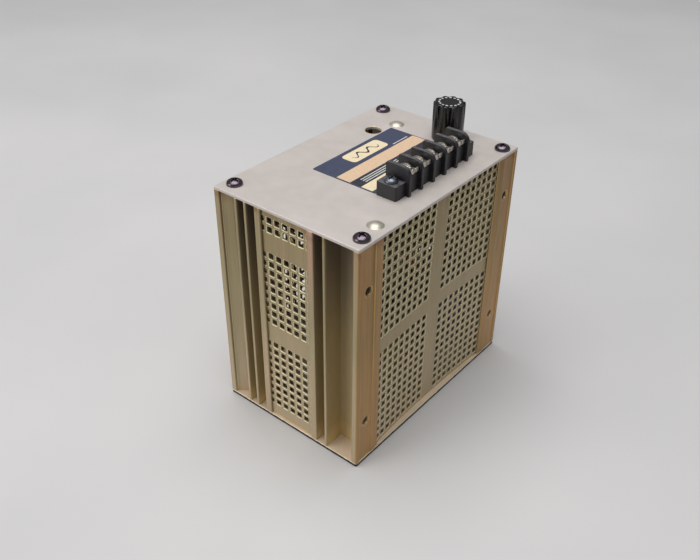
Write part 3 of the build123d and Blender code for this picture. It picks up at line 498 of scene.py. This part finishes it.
# ---------------------------------------------------------------- perforated sheets
def punched_sheet(node, across, outward, bow):
    """Sheet with the CAD's own holes, each with a rolled rim, dished by bow millimetres."""
    mesh = nodes[node].data
    cuts_u = sorted({round(v.co[across] / MM, 3) for v in mesh.vertices})
    cuts_v = sorted({round(v.co.z / MM, 3) for v in mesh.vertices})
    low, high = (corner[1 - across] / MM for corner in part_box(node))
    face_at, back_at = (high, low) if outward > 0 else (low, high)
    margin, least_strip, hole_corner, around = 0.78, 0.05, 0.55, 12
    middle_u, half_u = (cuts_u[0] + cuts_u[-1]) / 2, (cuts_u[-1] - cuts_u[0]) / 2
    reach_v = cuts_v[-1] - cuts_v[0]
    bm = bmesh.new()

    def grid_lines(cuts):
        """Lines between the sheet's cells, and which cells hold a hole."""
        lines, holed = [cuts[0]], []
        for a, b in zip(cuts[1:-1:2], cuts[2:-1:2]):
            if a - margin - lines[-1] > least_strip:
                holed.append(False)
                lines.append(a - margin)
            holed.append(True)
            lines.append(b + margin)
        holed.append(False)
        return lines + [cuts[-1]], holed

    def dished(u, v):
        """Depth of the dish: none at the sides and the top, full from the middle down."""
        edge = max(0.0, 1.0 - ((u - middle_u) / (0.9 * half_u)) ** 2)
        below_top = max(0.0, min(1.0, (cuts_v[-1] - v) / (0.45 * reach_v)))
        return bow * edge ** 0.7 * below_top ** 0.8

    def spot(u, v, depth):
        place = [0.0, 0.0, v]
        place[across] = u
        place[1 - across] = face_at - outward * (depth + dished(u, v))
        return place

    def hole_ring(u, v, half, depth):
        reach = half - hole_corner
        points = []
        for side_u, side_v, first in ((1, 1, 0.0), (-1, 1, 0.25), (-1, -1, 0.5), (1, -1, 0.75)):
            for k in range(3):
                turn = math.tau * (first + k / 8)
                points.append(spot(
                    u + side_u * reach + hole_corner * math.cos(turn),
                    v + side_v * reach + hole_corner * math.sin(turn),
                    depth,
                ))
        return ring(bm, points)

    def facing(loop, flip, material=0):
        bm.faces.new(loop[::-1] if flip else loop).material_index = material

    lines_u, holed_u = grid_lines(cuts_u)
    lines_v, holed_v = grid_lines(cuts_v)
    thick = abs(face_at - back_at)
    layers = [[ring(bm, [spot(u, v, depth) for v in lines_v]) for u in lines_u] for depth in (0.0, thick)]
    turned = (outward > 0) == (across == 0)
    for i, hole_u in enumerate(holed_u):
        for j, hole_v in enumerate(holed_v):
            quads = [
                [layer[i + 1][j + 1], layer[i][j + 1], layer[i][j], layer[i + 1][j]] for layer in layers
            ]
            if not (hole_u and hole_v):
                facing(quads[0], turned)
                facing(quads[1], not turned)
                continue
            centre = ((lines_u[i] + lines_u[i + 1]) / 2, (lines_v[j] + lines_v[j + 1]) / 2)
            half = (lines_u[i + 1] - lines_u[i]) / 2 - margin
            levels = ((half + 0.34, 0.0), (half + 0.1, 0.08), (half - 0.03, 0.3), (half - 0.03, thick))
            rings = [hole_ring(*centre, *level) for level in levels]
            for number, (outer, inner) in enumerate(zip(rings, rings[1:])):
                for k in range(around):
                    n = (k + 1) % around
                    facing([outer[k], outer[n], inner[n], inner[k]], turned, int(number < 2))
            for quad, edge, flip in ((quads[0], rings[0], turned), (quads[1], rings[-1], not turned)):
                for side in range(4):
                    corner, following = quad[side], quad[(side + 1) % 4]
                    first = 3 * side
                    facing([corner, edge[first + 1], edge[first]], flip)
                    facing([corner, edge[first + 2], edge[first + 1]], flip)
                    facing([corner, following, edge[(first + 3) % around], edge[first + 2]], flip)
    front, back = layers
    rim = [(i, 0) for i in range(len(lines_u))]
    rim += [(len(lines_u) - 1, j) for j in range(1, len(lines_v))]
    rim += [(i, len(lines_v) - 1) for i in range(len(lines_u) - 2, -1, -1)]
    rim += [(0, j) for j in range(len(lines_v) - 2, 0, -1)]
    for (a, b), (c, d) in zip(rim, rim[1:] + rim[:1]):
        facing([front[a][b], front[c][d], back[c][d], back[a][b]], turned)
    face_outwards(bm)
    smooth(put(bm, node + "_visual", node, finish_of["grille_metal"]), 50.0)


# ---------------------------------------------------------------- label
def printed_label():
    """Blank rating label: coloured bands, a plate with a wave mark and plain bars, no writing."""
    low, high = (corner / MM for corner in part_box("rating_label"))
    bm = bmesh.new()
    navy, cream, peach, dark, pale = range(5)
    sunk = 0.05
    slab(bm, (low.x, high.x), (low.y, high.y), (low.z, high.z), 0.6, navy)

    def printed(x, y, tone, lift=0.02, corner=0.05):
        across = (low.x + x[0], low.x + x[1])
        along = (low.y + y[0], low.y + y[1])
        slab(bm, across, along, (high.z - sunk, high.z + lift), corner, tone)

    reach = high.y - low.y
    printed((14.4, 22.6), (0.6, reach - 0.6), peach)
    printed((23.0, 29.2), (0.6, reach - 0.6), dark)
    printed((29.25, 35.9), (0.6, reach - 0.6), cream)
    printed((2.4, 11.7), (17.8, 45.5), cream, corner=2.2)
    printed((12.6, 13.2), (46.8, 58.8), pale)
    for number in range(3):
        printed((24.4 + 1.5 * number, 25.0 + 1.5 * number), (6.0, 34.0 + 8.0 * number), pale, 0.03)
    wave_low, wave_high, count, crests = 21.5, 41.5, 40, 2.5
    rings = []
    for k in range(count + 1):
        y = low.y + wave_low + (wave_high - wave_low) * k / count
        middle = low.x + 7.05 + 1.9 * math.sin(math.tau * crests * k / count)
        wide = 0.25 + 0.45 * math.sin(math.pi * k / count)
        rings.append(ring(bm, [
            (middle - wide, y, high.z), (middle + wide, y, high.z),
            (middle + wide, y, high.z + 0.04), (middle - wide, y, high.z + 0.04),
        ]))
    for lower, upper in zip(rings, rings[1:]):
        bridge(bm, lower, upper, dark)
    bm.faces.new(rings[0][::-1]).material_index = dark
    bm.faces.new(rings[-1]).material_index = dark
    face_outwards(bm)
    inks = [
        ("label_navy", (58, 64, 88)), ("label_cream", (228, 212, 178)), ("label_peach", (214, 184, 154)),
        ("label_dark", (40, 42, 52)), ("label_pale", (206, 206, 200)),
    ]
    films = [moulded(name, tint, (150, 144, 140), 0.04, (0.35, 0.5), 0.03) for name, tint in inks]
    smooth(put(bm, "rating_label_visual", "rating_label", films))


# ---------------------------------------------------------------- terminal block
def terminal_moulding():
    """Barrier block: one moulding drawn along the row, its section changing at every barrier."""
    node = "terminal_block"
    low, high = (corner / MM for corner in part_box(node))
    panel_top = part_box("top_panel")[1].z / MM
    first, last = (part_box(f"terminal_saddle_{k}") for k in (1, 5))
    strips_low = first[0].z / MM - 0.8
    first_y, last_y = ((pair[0].y + pair[1].y) / 2 / MM for pair in (first, last))
    pitch = (last_y - first_y) / 4
    body_x = (low.x + 0.3, low.x + 11.6)
    bay = (body_x, strips_low, 0.25, 0.25)
    ear = (body_x, panel_top + 7.2, 0.3, 0.3)
    barrier = ((low.x, high.x), high.z, 1.2, 4.6)
    roll = [(0.0, 0.25), (0.03, 0.16), (0.1, 0.06), (0.25, 0.0)]
    arc_steps = 6

    def outline(shape, y, inset_x, inset_top):
        """One section across the row, drawn in by the two insets."""
        (left, right), top, left_round, right_round = shape
        left, right, top = left + inset_x, right - inset_x, top - inset_top
        points = [(left, y, panel_top)]
        rounds = ((left + left_round, left_round, 2), (right - right_round, right_round, 1))
        for middle, radius, start in rounds:
            for k in range(arc_steps + 1):
                turn = math.pi / 2 * (start - k / arc_steps)
                points.append((middle + radius * math.cos(turn), y, top - radius + radius * math.sin(turn)))
        return points + [(right, y, panel_top)]

    half, step_in = 1.0, 0.02
    sections = []
    for depth, inset in ((0.0, 0.8), (0.1, 0.42), (0.3, 0.15), (0.8, 0.0)):
        sections.append(outline(ear, low.y + depth, inset, max(0.0, 0.25 - 1.5 * depth)))
    for k in range(6):
        middle = first_y + (k - 0.5) * pitch
        before, after = (ear if k == 0 else bay), (ear if k == 5 else bay)
        sections.append(outline(before, middle - half, 0.0, 0.0))
        for step, inset in roll:
            sections.append(outline(barrier, middle - half + step_in + step, inset, inset))
        for step, inset in roll[::-1]:
            sections.append(outline(barrier, middle + half - step_in - step, inset, inset))
        sections.append(outline(after, middle + half, 0.0, 0.0))
    for depth, inset in ((0.8, 0.0), (0.3, 0.15), (0.1, 0.42), (0.0, 0.8)):
        sections.append(outline(ear, high.y - depth, inset, max(0.0, 0.25 - 1.5 * depth)))
    bm = bmesh.new()
    rings = [ring(bm, points) for points in sections]
    for lower, upper in zip(rings, rings[1:]):
        bridge(bm, lower, upper)
    bm.faces.new(rings[0][::-1])
    bm.faces.new(rings[-1])
    tongue_z = (low.z, panel_top)
    slab(bm, (low.x + 1.7, low.x + 8.9), (first_y - 3.2, last_y + 3.2), tongue_z, 0.3)
    face_outwards(bm)
    smooth(put(bm, node + "_visual", node, finish_of["black_phenolic"]), 40.0)


# ---------------------------------------------------------------- fuse cap
def fluted_cap():
    """Fluted cap with a plain ring of index dashes, and the stem that carries the fuse."""
    low, high = (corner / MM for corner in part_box("fuse_cap"))
    middle = ((low.x + high.x) / 2, (low.y + high.y) / 2)
    radius = (high.x - low.x) / 2
    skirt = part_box("fuse_holder_body")[1].z / MM + 0.1
    bore_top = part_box("fuse_end_caps")[1].z / MM + 0.1
    flutes, cutter, depth, reach, roll = 10, 2.3, 1.05, 12.6, 0.7
    segments = 24 * flutes

    def fluted(turn, height):
        """Radius of the cap where a flute's round cutter leans in towards the top."""
        centre = radius + cutter - depth * max(0.0, (height - high.z + reach) / reach)
        step = math.tau / flutes
        off = (turn % step) - step / 2
        side = centre * math.sin(off)
        if abs(side) >= cutter:
            return radius
        return min(radius, centre * math.cos(off) - math.sqrt(cutter**2 - side**2))

    levels = [(skirt, 0.25), (skirt + 0.08, 0.08), (skirt + 0.25, 0.0)]
    levels += [(high.z - reach + k * (reach - roll) / 24, 0.0) for k in range(25)]
    for k in range(1, 7):
        turn = math.pi / 2 * k / 6
        levels.append((high.z - roll + roll * math.sin(turn), roll * (1 - math.cos(turn))))
    bm = bmesh.new()
    rings = []
    for bore_radius, height in ((3.25, bore_top), (3.25, low.z + 0.15), (3.35, low.z), (3.85, low.z),
                                (3.95, low.z + 0.15), (3.95, skirt)):
        rings.append([(bore_radius, height)] * segments)
    for height, inset in levels:
        rings.append([(fluted(math.tau * k / segments, height) - inset, height) for k in range(segments)])
    rings.append([(0.9 * r, high.z) for r, _ in rings[-1]])
    rings += [[(share * radius, high.z)] * segments for share in (0.55, 0.2)]
    turns = [math.tau * k / segments for k in range(segments)]
    made = [
        ring(bm, [
            (middle[0] + r * math.cos(turn), middle[1] + r * math.sin(turn), z)
            for turn, (r, z) in zip(turns, points)
        ])
        for points in rings
    ]
    for lower, upper in zip(made, made[1:]):
        bridge(bm, lower, upper)
    bm.faces.new(made[0][::-1])
    bm.faces.new(made[-1])
    dash_count, dash_at, dash_deep, dash_wide = 15, 5.3, 0.45, 0.6
    for number in range(dash_count):
        turn = math.tau * number / dash_count
        out = Vector((math.cos(turn), math.sin(turn)))
        along = Vector((-out.y, out.x))
        corners = [
            out * (dash_at + a * dash_deep) + along * (b * dash_wide)
            for a, b in ((-1, -1), (1, -1), (1, 1), (-1, 1))
        ]
        lower, upper = (
            ring(bm, [(middle[0] + c.x, middle[1] + c.y, height) for c in corners])
            for height in (high.z - 0.1, high.z)
        )
        for vert in upper:
            vert.co.z += 0.015 * MM
        bridge(bm, lower, upper, 1)
        bm.faces.new(lower[::-1]).material_index = 1
        bm.faces.new(upper).material_index = 1
    face_outwards(bm)
    ink = moulded("cap_ink", (206, 204, 196), (120, 116, 112), 0.4, (0.4, 0.55))
    inks = [finish_of["black_gloss_plastic"][0], ink]
    smooth(put(bm, "fuse_cap_visual", "fuse_cap", inks), 40.0)


# ---------------------------------------------------------------- rivets
def domed_rivets():
    """Two set rivets with smooth low domes."""
    low, high = (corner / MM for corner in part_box("panel_rivets"))
    panel_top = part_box("top_panel")[1].z / MM
    head, shank, tail, tail_high = 4.0, 1.6, 2.3, 1.0
    rise = high.z - panel_top
    sphere = (head**2 + rise**2) / (2 * rise)
    widest = math.asin(head / sphere)
    bm = bmesh.new()
    for place in ((high.x - head, low.y + head), (low.x + head, high.y - head)):
        profile = [(0.0, low.z), (tail, low.z), (tail, low.z + tail_high), (shank, low.z + tail_high)]
        profile += [(shank, panel_top), (head - 0.1, panel_top), (head, panel_top + 0.08)]
        for k in range(1, 13):
            turn = widest * (1 - k / 12)
            profile.append((sphere * math.sin(turn), high.z - sphere * (1 - math.cos(turn))))
        lathe(bm, place, profile, 72)
    face_outwards(bm)
    smooth(put(bm, "panel_rivets_visual", "panel_rivets", finish_of["bright_steel"][:1]), 50.0)


finish_of = make_finishes()
punched_sheet("grille_right", 1, 1, 1.7)
punched_sheet("grille_left", 1, -1, 0.5)
punched_sheet("grille_front", 0, -1, 0.3)
punched_sheet("grille_back", 0, 1, 0.3)
printed_label()
terminal_moulding()
fluted_cap()
domed_rivets()
by_hand = {"rating_label", "terminal_block", "fuse_cap", "panel_rivets"}
by_hand |= {f"grille_{side}" for side in ("front", "back", "left", "right")}
edge_widths = {"gold_chromate": 0.2, "panel_metal": 0.25, "mica": 0.03}
usual_width = 0.1
for node in sorted(set(nodes) - by_hand):
    refined(node, edge_widths.get(slot_of[node], usual_width))


# ---------------------------------------------------------------- studio
def make_studio():
    """Plain pale floor, and soft light from above and from both sides."""
    bm = bmesh.new()
    half_width = 6.0
    bmesh.ops.create_grid(bm, x_segments=2, y_segments=2, size=half_width)
    mesh = bpy.data.meshes.new("floor")
    bm.to_mesh(mesh)
    bm.free()
    floor = bpy.data.objects.new("floor", mesh)
    floor.location.z = cad_box[0].z
    bpy.context.scene.collection.objects.link(floor)
    matt = Finish("floor")
    tone = matt.tones(matt.noise(180.0), [(196, 195, 196), (204, 203, 203)])
    mesh.materials.append(matt.surface(tone, (0.6, 0.75), matt.noise(60.0), matt.noise(20.0), 0.05, 0.1))
    lamps = [
        ("key", (-0.1, -0.05, 1.5), 1.3, 21.5, (1.0, 0.99, 0.975)),
        ("side", (1.3, 0.2, 0.8), 1.0, 0.4, (0.97, 0.98, 1.0)),
        ("front", (-0.75, -1.3, 0.55), 0.9, 8.0, (1.0, 0.98, 0.96)),
    ]
    aim = Vector((0, 0, 0.06))
    for name, place, size, power, tint in lamps:
        data = bpy.data.lights.new(name, "AREA")
        data.size = size
        data.energy = power
        data.color = tint
        lamp = bpy.data.objects.new(name, data)
        lamp.location = place
        lamp.rotation_euler = (aim - lamp.location).to_track_quat("-Z", "Y").to_euler()
        bpy.context.scene.collection.objects.link(lamp)
    world = bpy.data.worlds.new("studio")
    world.use_nodes = True
    sky = world.node_tree.nodes["Background"]
    sky.inputs[0].default_value = (0.80, 0.82, 0.85, 1)
    sky.inputs[1].default_value = 0.3
    bpy.context.scene.world = world


place_camera()
make_studio()
bpy.context.scene.view_settings.view_transform = "Standard"
